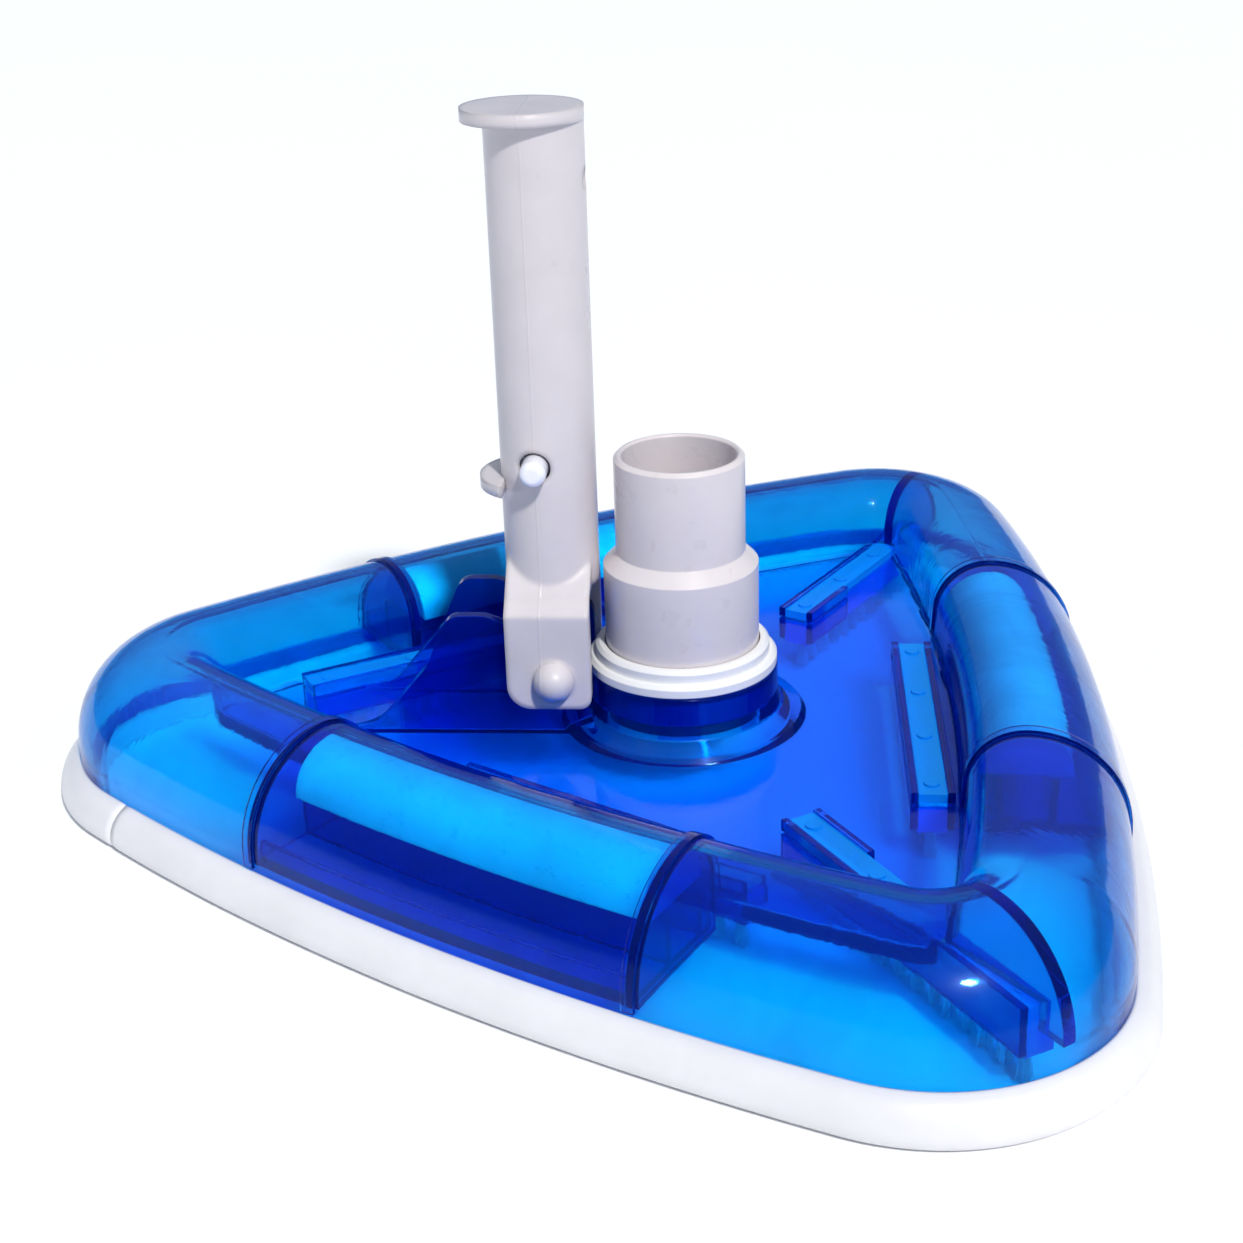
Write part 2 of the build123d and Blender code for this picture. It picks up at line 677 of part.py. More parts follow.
# ================================ spring clip ================================
with BuildPart() as clip:
    with BuildSketch(Plane.YZ.offset(TUBE_X + BUTTON_SHIFT - CLIP_WIDTH / 2)):
        with BuildLine():
            Polyline(
                (BUTTON_SEAT, BUTTON_Z + CLIP_HEAD),
                (BUTTON_SEAT, BUTTON_Z - CLIP_HEAD),
                (CLIP_BEND, CLIP_BOTTOM),
                (-CLIP_BEND, CLIP_BOTTOM),
                (-BUTTON_SEAT, BUTTON_Z - CLIP_HEAD),
                (-BUTTON_SEAT, BUTTON_Z + CLIP_HEAD),
                (-BUTTON_SEAT + CLIP_THICK, BUTTON_Z + CLIP_HEAD),
                (-BUTTON_SEAT + CLIP_THICK, BUTTON_Z - CLIP_HEAD),
                (-CLIP_BEND + CLIP_THICK, CLIP_BOTTOM + CLIP_THICK),
                (CLIP_BEND - CLIP_THICK, CLIP_BOTTOM + CLIP_THICK),
                (BUTTON_SEAT - CLIP_THICK, BUTTON_Z - CLIP_HEAD),
                (BUTTON_SEAT - CLIP_THICK, BUTTON_Z + CLIP_HEAD),
                close=True,
            )
        make_face()
    extrude(amount=CLIP_WIDTH)
clip.part.label = "clip_spring"
export_step(clip.part, "parts/clip_spring.step")

for name, side in (("right", -1), ("left", 1)):
    seat_centre = (TUBE_X + BUTTON_SHIFT, side * BUTTON_SEAT, BUTTON_Z)
    seat = Plane(origin=seat_centre, x_dir=(side, 0, 0), z_dir=(0, side, 0))
    with BuildPart() as button:
        with BuildSketch(seat):
            Circle(BUTTON_FLANGE_R)
        extrude(amount=BUTTON_FLANGE_THICK)
        with BuildSketch(seat):
            Circle(BUTTON_R)
        extrude(amount=BUTTON_TIP - BUTTON_SEAT)
        fillet(button.edges().sort_by(Axis.Y)[-1 if side > 0 else 0], BUTTON_ROUND)
    button.part.label = f"clip_button_{name}"
    export_step(button.part, f"parts/clip_button_{name}.step")
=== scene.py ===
import math
import random

import bmesh
import bpy
from mathutils import Matrix, Vector, noise


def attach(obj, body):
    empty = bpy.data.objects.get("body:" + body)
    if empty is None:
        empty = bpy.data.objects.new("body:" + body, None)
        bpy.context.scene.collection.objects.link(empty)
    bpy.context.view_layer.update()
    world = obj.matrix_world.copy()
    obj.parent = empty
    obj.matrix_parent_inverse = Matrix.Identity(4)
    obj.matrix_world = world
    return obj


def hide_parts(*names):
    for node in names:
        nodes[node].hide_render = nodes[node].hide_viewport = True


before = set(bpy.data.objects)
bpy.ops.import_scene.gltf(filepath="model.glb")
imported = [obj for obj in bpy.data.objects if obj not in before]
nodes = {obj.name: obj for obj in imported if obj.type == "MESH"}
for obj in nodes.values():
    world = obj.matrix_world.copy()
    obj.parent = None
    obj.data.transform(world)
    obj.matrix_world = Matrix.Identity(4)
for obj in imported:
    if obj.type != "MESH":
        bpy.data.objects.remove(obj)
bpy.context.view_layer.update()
scene = bpy.context.scene
scene.view_settings.view_transform = "Standard"
MM = 0.001

# ---- plan of the shell, as in the CAD model, in metres ----
TAIL = Vector((-0.0870, 0.0))       # middles of the three corner arcs
RIGHT = Vector((0.0780, -0.1029))
LEFT = Vector((0.0780, 0.1029))
CORNER_R = 0.0427
SIDE_R = 0.6347
PAN_TOP = 0.0186                    # the pan's level faces are below this height
# the collar is painted dark blue below SLEEVE_TOP, as painted shade inside the neck
SLEEVE_TOP = 0.0318                 # below this the collar is inside the blue neck
HANDLE_AXIS_X = -0.009              # the tube's moulding line lies on this plane

# ---- camera ----
CAMERA_PLACE = (0.04745, -0.4591, 0.2438)
CAMERA_AZIMUTH = 3.976              # degrees, as are the next two
CAMERA_ELEVATION = 23.124
CAMERA_ROLL = -1.524
CAMERA_LENS = 58.6
CAMERA_SHIFT = (-0.0193, -0.0149)

# ---- vinyl bead ----
BEAD_STEP = 0.0022                  # between two stations along the wall
BEAD_POINTS = 72                    # round the bead's section
JOINT_STATION = 4                   # where the two ends butt, counted along the outline
JOINT_GAP = 0.00022                 # half the hairline between the ends, and their pinch
BEAD_WAVE = 0.00010                 # swell and dip of the outer face
WAVE_SCALE = 45

# ---- bristles ----
STRANDS = 34                        # in one tuft
STRAND_R = 0.00016
STRAND_SIDES = 5
STRAND_LEVELS = 4
SPIRAL_TURN = 2.39996               # golden angle, which spreads the strands evenly
TUFT_FILL = 0.62                    # strands' roots reach this share of the tuft's radius
TIP_SPREAD = 1.45                   # how much wider the tips stand than the roots
TUFT_LEAN = 0.0004
TIP_SCATTER = 0.00022
UNEVEN_LENGTH = 0.0007
TIP_THINNING = 0.25
SPLAY_CURVE = 1.6                   # over 1, so that a strand bends more towards its tip
FIRST_SEED = 7

FLOOR_HALF = 6.0

# ---- finish of the clear plastic ----
CLEAR_IOR = 1.38
CLEAR_SPECULAR_TINT = (0.12, 0.42, 0.9, 1.0)
LEVEL_FACING = 0.95                 # a face this near to level is the pan's
ACROSS_FACING = 0.97                # a face this square to a side is a fin's or an end wall's
SHADOW_TINT = 0.86                  # how far a shadow takes the plastic's colour and not black


# ------------------------------------------------------------------ camera and light
def add_camera():
    """Looks down on the head from in front of its right side, rolled a little."""
    azimuth, elevation, roll = (math.radians(a) for a in (CAMERA_AZIMUTH, CAMERA_ELEVATION, CAMERA_ROLL))
    level = math.cos(elevation)
    back = Vector((math.sin(azimuth) * level, -math.cos(azimuth) * level, math.sin(elevation)))
    right = (-back).cross(Vector((0, 0, 1))).normalized()
    up = right.cross(-back)
    turned_right = right * math.cos(roll) + up * math.sin(roll)
    turned_up = up * math.cos(roll) - right * math.sin(roll)
    data = bpy.data.cameras.new("camera")
    data.lens = CAMERA_LENS
    data.sensor_width = 36
    data.shift_x, data.shift_y = CAMERA_SHIFT
    data.clip_start = 0.01
    camera = bpy.data.objects.new("camera", data)
    axes = Matrix((turned_right, turned_up, back)).transposed().to_4x4()
    camera.matrix_world = Matrix.Translation(CAMERA_PLACE) @ axes
    scene.collection.objects.link(camera)
    scene.camera = camera


def add_sun():
    """One soft key from the front right and above."""
    data = bpy.data.lights.new("key", "SUN")
    data.energy = 2.9
    data.angle = math.radians(5)
    data.color = (1.0, 0.985, 0.96)
    key = bpy.data.objects.new("key", data)
    key.rotation_euler = Vector((-0.51, 1.0, -1.26)).to_track_quat("-Z", "Y").to_euler()
    scene.collection.objects.link(key)


def add_world():
    """Pale overhead light that deepens to blue low down, before a plain pale backdrop."""
    world = bpy.data.worlds.new("studio")
    scene.world = world
    world.use_nodes = True
    tree = world.node_tree
    split = tree.nodes.new("ShaderNodeSeparateXYZ")
    tree.links.new(tree.nodes.new("ShaderNodeTexCoord").outputs["Generated"], split.inputs[0])
    climb = tree.nodes.new("ShaderNodeMapRange")
    climb.inputs["From Min"].default_value = 0.15
    climb.inputs["From Max"].default_value = 0.75
    tree.links.new(split.outputs["Z"], climb.inputs["Value"])
    sky = tree.nodes.new("ShaderNodeMix")
    sky.data_type = "RGBA"
    sky.inputs[6].default_value = (0.15, 0.25, 0.42, 1)
    sky.inputs[7].default_value = (0.50, 0.53, 0.56, 1)
    tree.links.new(climb.outputs[0], sky.inputs["Factor"])
    seen = tree.nodes.new("ShaderNodeMix")
    seen.data_type = "RGBA"
    tree.links.new(tree.nodes.new("ShaderNodeLightPath").outputs["Is Camera Ray"], seen.inputs["Factor"])
    tree.links.new(sky.outputs[2], seen.inputs[6])
    seen.inputs[7].default_value = (0.93, 0.94, 0.95, 1)
    background = tree.nodes["Background"]
    tree.links.new(seen.outputs[2], background.inputs["Color"])
    background.inputs["Strength"].default_value = 1.0


# ------------------------------------------------------------------ material nodes
class Nodes:
    """Short names for making a node tree."""

    def __init__(self, name):
        self.material = bpy.data.materials.new(name)
        self.material.use_nodes = True
        self.tree = self.material.node_tree
        self.tree.nodes.clear()
        self.out = self.tree.nodes.new("ShaderNodeOutputMaterial")
        self.place = self.node("ShaderNodeTexCoord").outputs["Object"]

    def node(self, kind, **values):
        made = self.tree.nodes.new(kind)
        for key, value in values.items():
            setattr(made, key, value)
        return made

    def link(self, source, target):
        self.tree.links.new(source, target)

    def put(self, socket, value):
        if isinstance(value, bpy.types.NodeSocket):
            self.link(value, socket)
        else:
            socket.default_value = value

    def math(self, operation, a, b=0.0, clamp=False):
        made = self.node("ShaderNodeMath", operation=operation, use_clamp=clamp)
        self.put(made.inputs[0], a)
        self.put(made.inputs[1], b)
        return made.outputs[0]

    def noise(self, scale, detail=2.0, rough=0.5, stretch=None, distortion=0.0):
        made = self.node("ShaderNodeTexNoise")
        made.inputs["Scale"].default_value = scale
        made.inputs["Detail"].default_value = detail
        made.inputs["Roughness"].default_value = rough
        made.inputs["Distortion"].default_value = distortion
        place = self.place
        if stretch:
            mapping = self.node("ShaderNodeMapping")
            mapping.inputs["Scale"].default_value = stretch
            self.link(place, mapping.inputs["Vector"])
            place = mapping.outputs[0]
        self.link(place, made.inputs["Vector"])
        return made.outputs["Fac"]

    def span(self, value, low, high, to_low=0.0, to_high=1.0):
        made = self.node("ShaderNodeMapRange", clamp=True)
        self.link(value, made.inputs["Value"])
        for key, number in zip(("From Min", "From Max", "To Min", "To Max"), (low, high, to_low, to_high)):
            self.put(made.inputs[key], number)
        return made.outputs[0]

    def mix(self, factor, a, b, blend="MIX"):
        made = self.node("ShaderNodeMix", data_type="RGBA", blend_type=blend)
        self.put(made.inputs["Factor"], factor)
        self.put(made.inputs[6], a)
        self.put(made.inputs[7], b)
        return made.outputs[2]

    def bump(self, height, distance, strength=1.0, normal=None):
        made = self.node("ShaderNodeBump")
        made.inputs["Strength"].default_value = strength
        made.inputs["Distance"].default_value = distance
        self.link(height, made.inputs["Height"])
        if normal:
            self.link(normal, made.inputs["Normal"])
        return made.outputs[0]

    def rounded(self, radius):
        made = self.node("ShaderNodeBevel", samples=6)
        made.inputs["Radius"].default_value = radius
        return made.outputs[0]


def shade(values):
    return (*values, 1.0)


def solid_plastic(name, base, spot, roughness, edge=0.0004, coat=0.0, scatter=0.0,
                  line_x=None, sleeve_z=None):
    """Moulded plastic: faint mottling, scuffs, fine grain and softened edges.

    It has a parting line on the plane x = line_x, and below sleeve_z it is painted dark blue, as painted
    shade on the part hidden inside the blue neck, where those are given.
    """
    n = Nodes(name)
    broad = n.noise(55, 3, 0.6)
    fine = n.noise(900, 2, 0.5)
    scuffs = n.span(n.noise(240, 5, 0.7, stretch=(1, 1, 0.12), distortion=0.6), 0.62, 0.74)
    colour = n.mix(n.span(broad, 0.35, 0.75), shade(base), shade(spot))
    colour = n.mix(n.math("MULTIPLY", scuffs, 0.03), colour, shade([v * 0.8 for v in base]))
    shine = n.span(broad, 0.3, 0.7, roughness - 0.05, roughness + 0.06)
    shine = n.math("ADD", shine, n.math("MULTIPLY", scuffs, 0.05))
    normal = n.rounded(edge)
    normal = n.bump(fine, 0.00002, 0.5, normal)
    normal = n.bump(broad, 0.0002, 0.35, normal)
    if line_x is not None:
        away = n.math("ABSOLUTE", n.math("SUBTRACT", split_place(n)["X"], line_x))
        line = n.span(away, 0.00012, 0.00035, 1.0, 0.0)
        normal = n.bump(line, 0.00012, 0.5, normal)
    if sleeve_z is not None:
        # Painted shade: below sleeve_z the collar sits inside the blue neck and is painted dark blue
        # there.
        sleeve_shade = n.math("LESS_THAN", split_place(n)["Z"], sleeve_z)
        colour = n.mix(sleeve_shade, colour, shade((0.01, 0.03, 0.35)))
    shader = n.node("ShaderNodeBsdfPrincipled")
    n.link(colour, shader.inputs["Base Color"])
    n.link(shine, shader.inputs["Roughness"])
    n.link(normal, shader.inputs["Normal"])
    shader.inputs["IOR"].default_value = 1.5
    shader.inputs["Coat Weight"].default_value = coat
    shader.inputs["Coat Roughness"].default_value = 0.12
    if scatter:
        shader.inputs["Subsurface Weight"].default_value = scatter
        shader.inputs["Subsurface Radius"].default_value = (0.002, 0.0018, 0.0016)
        shader.inputs["Subsurface Scale"].default_value = 1.0
    n.link(shader.outputs[0], n.out.inputs["Surface"])
    return n.material


def clear_plastic(name, tint, soak, density, haze=0.03, cloudy=0.07, cloud_colour=(0.0, 0.04, 0.75),
                  deep=None, thick=None):
    """See-through blue plastic that darkens with thickness and lets the lamp light what is behind it.

    deep and thick are the tints of the pan and of the fins and end walls, where those are given.
    """
    n = Nodes(name)
    flow = n.noise(38, 4, 0.6, distortion=1.2)
    fine = n.noise(700, 3, 0.6)
    specks = n.span(n.noise(1600, 1, 0.5), 0.74, 0.8)
    normal = n.rounded(0.0005)
    normal = n.bump(flow, 0.0004, 0.35, normal)
    normal = n.bump(fine, 0.00002, 0.35, normal)
    shader = n.node("ShaderNodeBsdfPrincipled")
    dull = [v * 0.88 for v in tint]
    colour = n.mix(n.span(flow, 0.35, 0.7), shade(tint), shade(dull))
    if deep:
        pan, upright = deep_masks(n)
        colour = n.mix(pan, colour, shade(deep))
        colour = n.mix(upright, colour, shade(thick))
    n.link(colour, shader.inputs["Base Color"])
    shine = n.span(flow, 0.3, 0.7, haze, haze + 0.05)
    n.link(n.math("ADD", shine, n.math("MULTIPLY", specks, 0.15)), shader.inputs["Roughness"])
    n.link(normal, shader.inputs["Normal"])
    shader.inputs["IOR"].default_value = CLEAR_IOR
    shader.inputs["Specular Tint"].default_value = CLEAR_SPECULAR_TINT
    shader.inputs["Coat Weight"].default_value = 0.06
    shader.inputs["Coat Roughness"].default_value = 0.25
    shader.inputs["Specular IOR Level"].default_value = 0.09
    shader.inputs["Transmission Weight"].default_value = 1.0
    clear = n.node("ShaderNodeBsdfTransparent")
    n.link(n.mix(SHADOW_TINT, shade((0, 0, 0)), colour), clear.inputs["Color"])
    cloud = n.node("ShaderNodeBsdfDiffuse")
    cloud.inputs["Color"].default_value = shade(cloud_colour)
    body = n.node("ShaderNodeMixShader")
    body.inputs[0].default_value = cloudy
    n.link(shader.outputs[0], body.inputs[1])
    n.link(cloud.outputs[0], body.inputs[2])
    switch = n.node("ShaderNodeMixShader")
    n.link(n.node("ShaderNodeLightPath").outputs["Is Shadow Ray"], switch.inputs[0])
    n.link(body.outputs[0], switch.inputs[1])
    n.link(clear.outputs[0], switch.inputs[2])
    n.link(switch.outputs[0], n.out.inputs["Surface"])
    inside = n.node("ShaderNodeVolumeAbsorption")
    inside.inputs["Color"].default_value = shade(soak)
    inside.inputs["Density"].default_value = density
    n.link(inside.outputs[0], n.out.inputs["Volume"])
    return n.material


def split_place(n):
    """The object's own X, Y and Z at each point."""
    split = n.node("ShaderNodeSeparateXYZ")
    n.link(n.place, split.inputs[0])
    return split.outputs


def deep_masks(n):
    """Two masks over the thick mouldings: the flat pan, and the fins with the chambers' end walls."""
    place = split_place(n)
    normal = n.node("ShaderNodeNewGeometry").outputs["True Normal"]
    facing = n.node("ShaderNodeSeparateXYZ")
    n.link(normal, facing.inputs[0])
    level = n.math("GREATER_THAN", n.math("ABSOLUTE", facing.outputs["Z"]), LEVEL_FACING)
    pan = n.math("MULTIPLY", level, n.math("LESS_THAN", place["Z"], PAN_TOP))
    flat = n.node("ShaderNodeCombineXYZ")
    n.link(place["X"], flat.inputs["X"])
    n.link(place["Y"], flat.inputs["Y"])
    across = 0.0
    for start, end in ((TAIL, RIGHT), (RIGHT, LEFT), (LEFT, TAIL)):
        along = (end - start).normalized()
        turned = n.node("ShaderNodeVectorMath", operation="DOT_PRODUCT")
        n.link(normal, turned.inputs[0])
        turned.inputs[1].default_value = (along.x, along.y, 0.0)
        across = n.math("MAXIMUM", across, n.math("ABSOLUTE", turned.outputs["Value"]))
    upright = n.math("GREATER_THAN", across, ACROSS_FACING)
    for corner in (TAIL, RIGHT, LEFT):
        away = n.node("ShaderNodeVectorMath", operation="DISTANCE")
        n.link(flat.outputs[0], away.inputs[0])
        away.inputs[1].default_value = (corner.x, corner.y, 0.0)
        outside = n.math("GREATER_THAN", away.outputs["Value"], CORNER_R + 0.001)
        upright = n.math("MULTIPLY", upright, outside)
    return pan, upright


def metal(name, base, roughness):
    """Drawn steel with fine streaks along it."""
    n = Nodes(name)
    streak = n.noise(600, 4, 0.6, stretch=(1, 0.08, 1))
    broad = n.noise(80, 3, 0.6)
    shader = n.node("ShaderNodeBsdfPrincipled")
    dull = shade([v * 0.75 for v in base])
    n.link(n.mix(broad, shade(base), dull), shader.inputs["Base Color"])
    n.link(n.span(streak, 0.3, 0.7, roughness - 0.06, roughness + 0.12), shader.inputs["Roughness"])
    n.link(n.bump(streak, 0.00003, 0.6, n.rounded(0.0002)), shader.inputs["Normal"])
    shader.inputs["Metallic"].default_value = 1.0
    n.link(shader.outputs[0], n.out.inputs["Surface"])
    return n.material


def cast_weight(name):
    """Pale coated weight: mottled, pitted and slightly glittery."""
    n = Nodes(name)
    broad = n.noise(120, 5, 0.65, distortion=0.8)
    pits = n.span(n.noise(620, 2, 0.6), 0.60, 0.72)
    colour = n.mix(n.span(broad, 0.35, 0.68), shade((1.0, 1.0, 1.0)), shade((0.88, 0.98, 1.0)))
    colour = n.mix(n.math("MULTIPLY", pits, 0.3), colour, shade((0.4, 0.65, 0.72)))
    shader = n.node("ShaderNodeBsdfPrincipled")
    n.link(colour, shader.inputs["Base Color"])
    n.link(n.span(broad, 0.3, 0.7, 0.42, 0.6), shader.inputs["Roughness"])
    shader.inputs["Metallic"].default_value = 0.1
    normal = n.bump(broad, 0.0005, 0.4, n.rounded(0.0006))
    n.link(n.bump(pits, 0.0002, 0.5, normal), shader.inputs["Normal"])
    n.link(shader.outputs[0], n.out.inputs["Surface"])
    return n.material


def vinyl(name):
    """Extruded white vinyl: fine lines along the bead, faint dimpling, a little grime low down."""
    n = Nodes(name)
    around = n.node("ShaderNodeUVMap", uv_map="sweep").outputs[0]
    mapping = n.node("ShaderNodeMapping")
    mapping.inputs["Scale"].default_value = (2.0, 60.0, 1.0)
    n.link(around, mapping.inputs["Vector"])
    lines = n.node("ShaderNodeTexNoise")
    lines.inputs["Scale"].default_value = 9.0
    lines.inputs["Detail"].default_value = 3.0
    n.link(mapping.outputs[0], lines.inputs["Vector"])
    broad = n.noise(42, 4, 0.6)
    fine = n.noise(1100, 2, 0.5)
    low = n.span(split_place(n)["Z"], 0.0005, 0.0040, 1.0, 0.0)
    grime = n.math("MULTIPLY", low, n.span(n.noise(160, 5, 0.7), 0.4, 0.7))
    colour = n.mix(n.span(broad, 0.35, 0.7), shade((0.79, 0.775, 0.79)), shade((0.73, 0.715, 0.73)))
    colour = n.mix(n.math("MULTIPLY", grime, 0.3), colour, shade((0.62, 0.60, 0.58)))
    shader = n.node("ShaderNodeBsdfPrincipled")
    n.link(colour, shader.inputs["Base Color"])
    n.link(n.span(broad, 0.3, 0.7, 0.30, 0.42), shader.inputs["Roughness"])
    normal = n.bump(lines.outputs["Fac"], 0.00008, 0.35)
    normal = n.bump(fine, 0.00002, 0.4, normal)
    n.link(n.bump(broad, 0.0005, 0.3, normal), shader.inputs["Normal"])
    shader.inputs["Subsurface Weight"].default_value = 0.25
    shader.inputs["Subsurface Radius"].default_value = (0.003, 0.0027, 0.0025)
    shader.inputs["Subsurface Scale"].default_value = 1.0
    shader.inputs["Coat Weight"].default_value = 0.15
    shader.inputs["Coat Roughness"].default_value = 0.2
    n.link(shader.outputs[0], n.out.inputs["Surface"])
    return n.material


def nylon(name):
    """Milky bristle nylon, a little uneven from strand to strand."""
    n = Nodes(name)
    patch = n.noise(300, 2, 0.5)
    shader = n.node("ShaderNodeBsdfPrincipled")
    colour = n.mix(n.span(patch, 0.3, 0.7), shade((0.90, 0.92, 0.95)), shade((0.70, 0.74, 0.80)))
    n.link(colour, shader.inputs["Base Color"])
    n.link(n.span(patch, 0.3, 0.7, 0.28, 0.42), shader.inputs["Roughness"])
    shader.inputs["Subsurface Weight"].default_value = 0.3
    shader.inputs["Subsurface Radius"].default_value = (0.001, 0.001, 0.001)
    shader.inputs["Subsurface Scale"].default_value = 1.0
    n.link(shader.outputs[0], n.out.inputs["Surface"])
    return n.material


def floor_material(name):
    """Plain pale matt floor."""
    n = Nodes(name)
    broad = n.noise(3, 3, 0.5)
    shader = n.node("ShaderNodeBsdfPrincipled")
    colour = n.mix(broad, shade((0.93, 0.93, 0.94)), shade((0.95, 0.95, 0.955)))
    n.link(colour, shader.inputs["Base Color"])
    shader.inputs["Roughness"].default_value = 0.7
    n.link(shader.outputs[0], n.out.inputs["Surface"])
    return n.material


# ------------------------------------------------------------------ plan outline
def side_centre(start, end):
    """Middle of the long shallow arc that joins two corner arcs."""
    run = end - start
    rise = math.sqrt((SIDE_R - CORNER_R) ** 2 - (run.length / 2) ** 2)
    return (start + end) / 2 + Vector((-run.y, run.x)) / run.length * rise


def outline(step):
    """Points of the wall's outside and outward directions, anticlockwise from the tail's left side."""
    order = [(TAIL, RIGHT), (RIGHT, LEFT), (LEFT, TAIL)]
    centres = [side_centre(a, b) for a, b in order]
    path = []
    for index, (start, end) in enumerate(order):
        centre, following = centres[index], centres[(index + 1) % 3]
        first, last = ((p - centre) for p in (start, end))
        turn = end - following
        for middle, radius, a, b in ((centre, SIDE_R, first, last), (end, CORNER_R, last, turn)):
            low = math.atan2(a.y, a.x)
            sweep = (math.atan2(b.y, b.x) - low) % (2 * math.pi)
            count = max(2, round(sweep * radius / step))
            for k in range(count):
                angle = low + sweep * k / count
                out = Vector((math.cos(angle), math.sin(angle)))
                path.append((middle + out * radius, out))
    return path


def head_piece(name, verts, faces, material):
    """A smooth mesh that rides on the head."""
    mesh = bpy.data.meshes.new(name)
    mesh.from_pydata(verts, [], faces)
    mesh.validate()
    made = bpy.data.objects.new(name, mesh)
    scene.collection.objects.link(made)
    for face in mesh.polygons:
        face.use_smooth = True
    mesh.materials.append(material)
    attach(made, "head")
    return made


def smooth_profile(corners, count):
    """Points evenly spaced along a closed smooth loop through the corners."""
    size = len(corners)
    loop = []
    for index in range(size):
        a, b, c, d = (Vector(corners[(index + k - 1) % size]) for k in range(4))
        for k in range(12):
            t = k / 12
            square = (2 * a - 5 * b + 4 * c - d) * t * t
            cube = (3 * b - a - 3 * c + d) * t ** 3
            loop.append(0.5 * (2 * b + (c - a) * t + square + cube))
    lengths = [0.0]
    for index in range(len(loop)):
        lengths.append(lengths[-1] + (loop[(index + 1) % len(loop)] - loop[index]).length)
    points = []
    spot = 0
    for k in range(count):
        want = lengths[-1] * k / count
        while lengths[spot + 1] < want:
            spot += 1
        share = (want - lengths[spot]) / max(1e-9, lengths[spot + 1] - lengths[spot])
        points.append(loop[spot].lerp(loop[(spot + 1) % len(loop)], share))
    return points


def build_bumper(material):
    """Vinyl bead swept round the wall, its two ends butted with a hairline gap."""
    # section in millimetres: out from the wall's outside, then height
    outer = [(0.0, 10.45), (0.9, 10.4), (2.9, 9.35), (4.6, 7.3), (5.65, 4.9), (5.88, 3.0), (5.5, 1.5)]
    under = [(4.3, 0.4), (2.6, 0.03), (0.0, 0.02), (-2.4, 0.02), (-4.2, 0.1), (-4.75, 0.7)]
    inner = [(-4.78, 3.0), (-4.7, 5.3), (-3.9, 5.9), (-2.5, 6.2)]
    groove = [(-2.42, 4.0), (-2.4, 1.7), (-1.2, 1.55), (-0.02, 1.7), (0.0, 4.0), (0.0, 8.0)]
    profile = smooth_profile(outer + under + inner + groove, BEAD_POINTS)
    path = outline(BEAD_STEP)
    path = path[JOINT_STATION:] + path[:JOINT_STATION]
    verts, faces, uvs = [], [], []
    total = len(path)
    length = 0.0
    for index in range(total + 1):
        spot, out = path[index % total]
        if index:
            length += (spot - path[(index - 1) % total][0]).length
        along = Vector((-out.y, out.x))
        shift = 0.0
        if index == 0:
            shift = JOINT_GAP
        if index == total:
            shift = -JOINT_GAP
        wave = BEAD_WAVE * noise.noise(Vector((spot.x, spot.y, 0)) * WAVE_SCALE)
        pinch = JOINT_GAP if index in (0, total) else 0.0
        for k, point in enumerate(profile):
            swell = wave if point.x > 0.5 and point.y > 0.6 else 0.0
            reach = point.x * MM + swell - (pinch if point.x > 0.5 else 0.0)
            place = spot + out * reach + along * shift
            height = point.y * MM - (pinch if point.y > 8 else 0.0)
            verts.append((place.x, place.y, max(0.0, height)))
            uvs.append((length, k / len(profile)))
    ring = len(profile)
    for index in range(total):
        for k in range(ring):
            a = index * ring + k
            b = index * ring + (k + 1) % ring
            faces.append((a, a + ring, b + ring, b))
    faces.append(tuple(range(ring)))
    faces.append(tuple(total * ring + k for k in reversed(range(ring))))
    bumper = head_piece("bumper_bead", verts, faces, material)
    layer = bumper.data.uv_layers.new(name="sweep")
    for loop in bumper.data.loops:
        layer.data[loop.index].uv = uvs[loop.vertex_index]
    bm = bmesh.new()
    bm.from_mesh(bumper.data)
    bmesh.ops.recalc_face_normals(bm, faces=bm.faces)
    bm.to_mesh(bumper.data)
    bm.free()
    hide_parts("bumper")


def node_tufts(node):
    """Middle, radius, bottom and top of each separate tuft in a CAD node."""
    mesh = nodes[node].data
    bm = bmesh.new()
    bm.from_mesh(mesh)
    bmesh.ops.remove_doubles(bm, verts=bm.verts, dist=1e-6)
    bm.verts.ensure_lookup_table()
    seen, tufts = set(), []
    for vert in bm.verts:
        if vert in seen:
            continue
        group, edge = [], [vert]
        seen.add(vert)
        while edge:
            at = edge.pop()
            group.append(at.co.copy())
            for link in at.link_edges:
                other = link.other_vert(at)
                if other not in seen:
                    seen.add(other)
                    edge.append(other)
        low = Vector((min(p.x for p in group), min(p.y for p in group), min(p.z for p in group)))
        high = Vector((max(p.x for p in group), max(p.y for p in group), max(p.z for p in group)))
        tufts.append(((low + high) / 2, (high.x - low.x) / 2, low.z, high.z))
    bm.free()
    return tufts


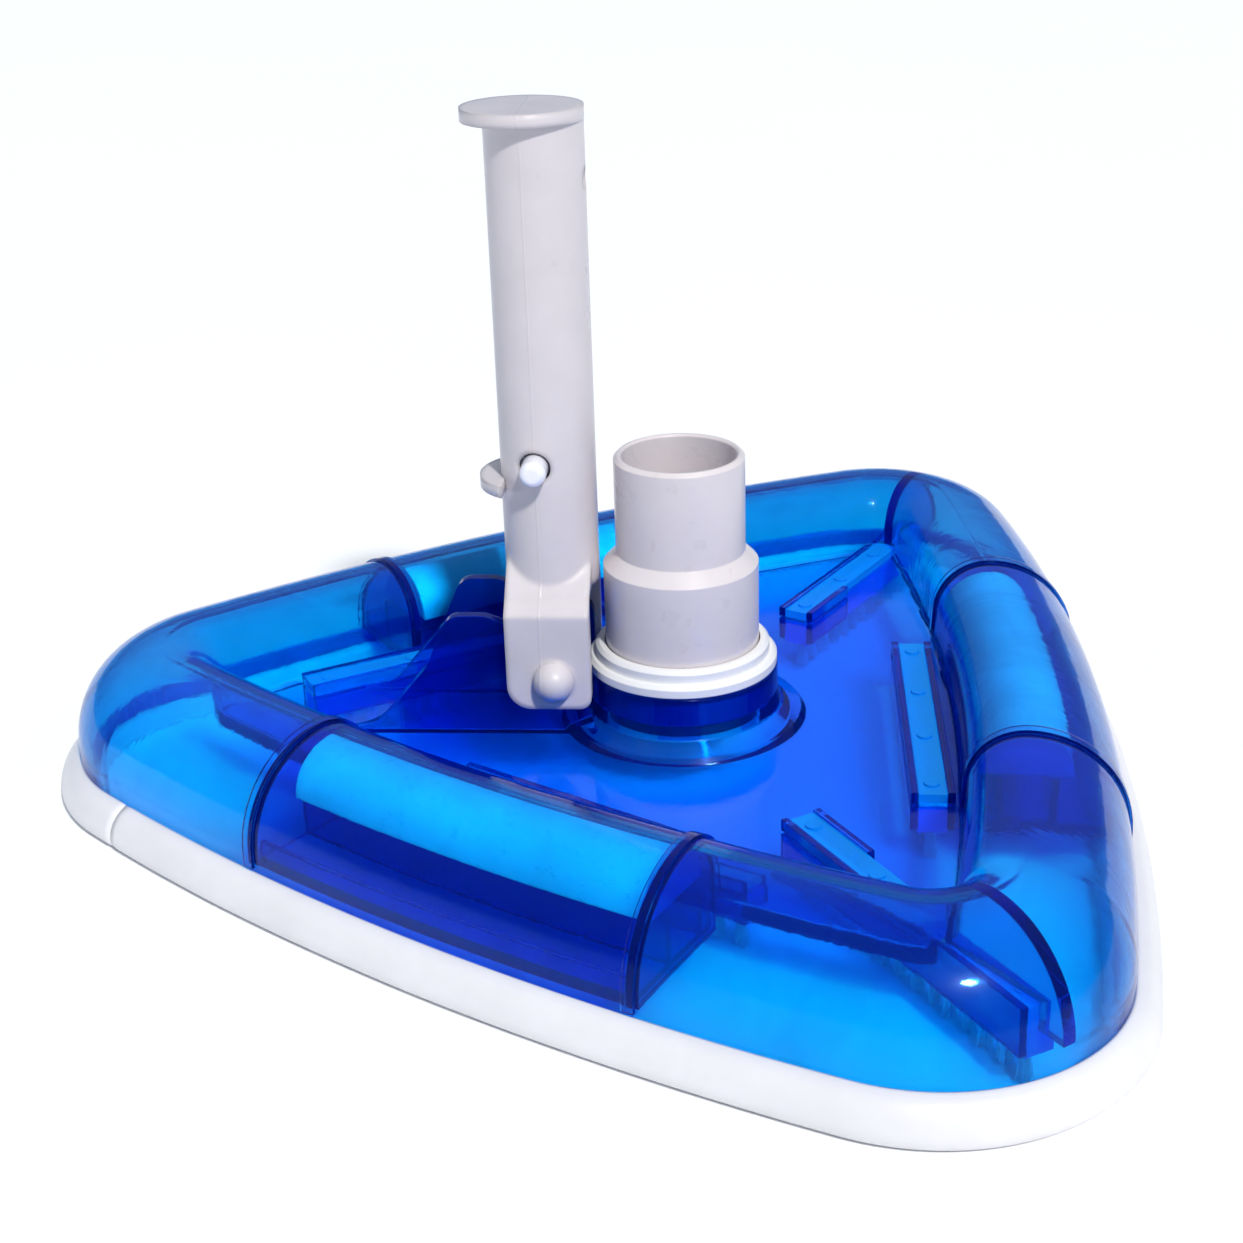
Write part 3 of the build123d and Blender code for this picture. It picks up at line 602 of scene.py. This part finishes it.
def build_bristles(node, material, seed):
    """Each tuft as a spray of fine nylon strands that splay and lean a little."""
    chance = random.Random(seed)
    verts, faces = [], []
    for middle, radius, bottom, top in node_tufts(node):
        lean = Vector((chance.uniform(-1, 1), chance.uniform(-1, 1))) * TUFT_LEAN
        for strand in range(STRANDS):
            turn = strand * SPIRAL_TURN
            share = math.sqrt((strand + 0.5) / STRANDS)
            root = Vector((math.cos(turn), math.sin(turn))) * radius * TUFT_FILL * share
            stray = Vector((chance.gauss(0, 1), chance.gauss(0, 1))) * TIP_SCATTER
            tip = root * TIP_SPREAD + lean + stray
            drop = bottom + chance.uniform(0.0, UNEVEN_LENGTH)
            base = len(verts)
            for level in range(STRAND_LEVELS):
                t = level / (STRAND_LEVELS - 1)
                centre = root.lerp(tip, t ** SPLAY_CURVE)
                height = top + (drop - top) * t
                size = STRAND_R * (1 - TIP_THINNING * t)
                for side in range(STRAND_SIDES):
                    angle = side * 2 * math.pi / STRAND_SIDES
                    verts.append((
                        middle.x + centre.x + math.cos(angle) * size,
                        middle.y + centre.y + math.sin(angle) * size,
                        height,
                    ))
            for level in range(STRAND_LEVELS - 1):
                for side in range(STRAND_SIDES):
                    a = base + level * STRAND_SIDES + side
                    b = base + level * STRAND_SIDES + (side + 1) % STRAND_SIDES
                    faces.append((a, b, b + STRAND_SIDES, a + STRAND_SIDES))
            last = base + (STRAND_LEVELS - 1) * STRAND_SIDES
            faces.append(tuple(last + side for side in range(STRAND_SIDES)))
            faces.append(tuple(base + side for side in reversed(range(STRAND_SIDES))))
    made = head_piece(node + "_strands", verts, faces, material)
    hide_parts(node)


def build_floor(material):
    """One wide flat face under the head."""
    mesh = bpy.data.meshes.new("floor")
    corners = [(x * FLOOR_HALF, y * FLOOR_HALF, 0) for x, y in ((-1, -1), (1, -1), (1, 1), (-1, 1))]
    mesh.from_pydata(corners, [], [(0, 1, 2, 3)])
    mesh.materials.append(material)
    floor = bpy.data.objects.new("floor", mesh)
    scene.collection.objects.link(floor)


def dress_cad_nodes():
    """Gives each CAD node that stays in view its finished material, by the start of its name."""
    finishes = {
        "shell": clear_plastic(
            "clear_blue_shell", (0.28, 0.94, 1.0), (0.0, 0.815, 0.957), 900,
            deep=(0.16, 0.58, 0.96), thick=(0.10, 0.36, 0.84)),
        "chamber_cover": clear_plastic(
            "clear_blue_cover", (0.12, 0.55, 0.93), (0.0, 0.65, 0.96), 1100, haze=0.06),
        "brush_bar": clear_plastic(
            "brush_bar", (0.35, 0.9, 1.0), (0.0, 0.8, 1.0), 200, haze=0.15,
            cloudy=0.5, cloud_colour=(0.005, 0.36, 1.0)),
        "hose_cuff": solid_plastic(
            "white_plastic", (0.66, 0.60, 0.61), (0.71, 0.65, 0.66), 0.30, coat=0.2, scatter=0.1),
        "handle": solid_plastic(
            "handle_plastic", (0.61, 0.56, 0.575), (0.66, 0.61, 0.625), 0.32,
            edge=0.0022, coat=0.15, scatter=0.1, line_x=HANDLE_AXIS_X),
        # the collar's part inside the neck is painted dark blue, as painted shade
        "swivel_collar": solid_plastic(
            "collar_plastic", (0.84, 0.83, 0.82), (0.78, 0.77, 0.77), 0.38, sleeve_z=SLEEVE_TOP),
        "clip_button": solid_plastic(
            "button_plastic", (0.85, 0.84, 0.90), (0.80, 0.79, 0.86), 0.2, coat=0.4),
        "swivel_washer": solid_plastic("seal_rubber", (0.03, 0.03, 0.035), (0.05, 0.05, 0.055), 0.6),
        "hinge_pin": metal("pin_steel", (0.62, 0.62, 0.64), 0.28),
        "clip_spring": metal("spring_steel", (0.55, 0.56, 0.60), 0.22),
        "ballast": cast_weight("ballast"),
    }
    for node, target in nodes.items():
        for start, material in finishes.items():
            if node.startswith(start):
                target.data.materials.clear()
                target.data.materials.append(material)


add_camera()
add_world()
add_sun()
dress_cad_nodes()
build_bumper(vinyl("bumper_vinyl"))
strand_nylon = nylon("bristle")
for seed, node in enumerate(sorted(n for n in nodes if n.startswith("bristles")), start=FIRST_SEED):
    build_bristles(node, strand_nylon, seed)
build_floor(floor_material("floor"))
